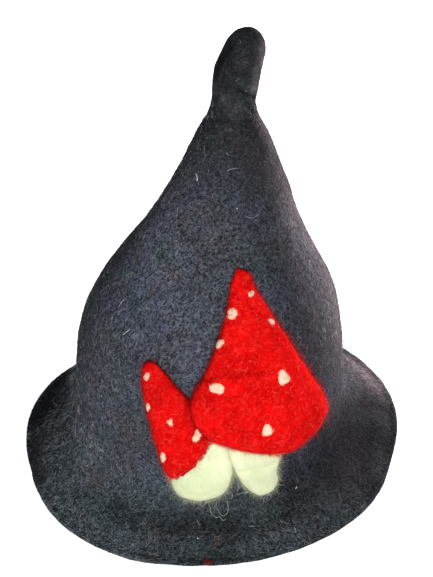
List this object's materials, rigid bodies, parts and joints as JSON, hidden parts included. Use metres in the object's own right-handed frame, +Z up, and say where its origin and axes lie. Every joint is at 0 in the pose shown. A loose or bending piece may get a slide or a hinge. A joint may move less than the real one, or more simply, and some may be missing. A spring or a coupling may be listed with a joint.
{
  "type": "sauna hat",
  "caption": "Dark wool felt sauna hat with a flaring brim, full pointed crown and stubby leaning tip, trimmed with needle-felted red toadstools with pale dots and stems.",
  "frame": {"origin": "middle of the brim's footprint, on the surface that the hat stands on", "axes": "+Z up along the crown, -Y to the front where the toadstools are, +X to the wearer's left as seen on the right of the picture"},
  "size_m": [0.261, 0.2714, 0.2922],
  "materials": {
    "dark_felt": "matted charcoal wool felt with paler stray fibres",
    "red_wool": "fuzzy needle-felted red wool",
    "pale_wool": "soft pale cream needle-felted wool",
    "dot_wool": "small cream wool dots felted into the caps"
  },
  "bodies": {
    "root": {"hat_body": "dark_felt", "large_cap": "red_wool", "small_cap": "red_wool", "large_stem": "pale_wool", "small_stem": "pale_wool", "large_cap_dot_1": "dot_wool", "large_cap_dot_2": "dot_wool", "large_cap_dot_3": "dot_wool", "large_cap_dot_4": "dot_wool", "large_cap_dot_5": "dot_wool", "large_cap_dot_6": "dot_wool", "large_cap_dot_7": "dot_wool", "small_cap_dot_1": "dot_wool", "small_cap_dot_2": "dot_wool", "small_cap_dot_3": "dot_wool", "small_cap_dot_4": "dot_wool", "small_cap_dot_5": "dot_wool"}
  },
  "joints": []
}
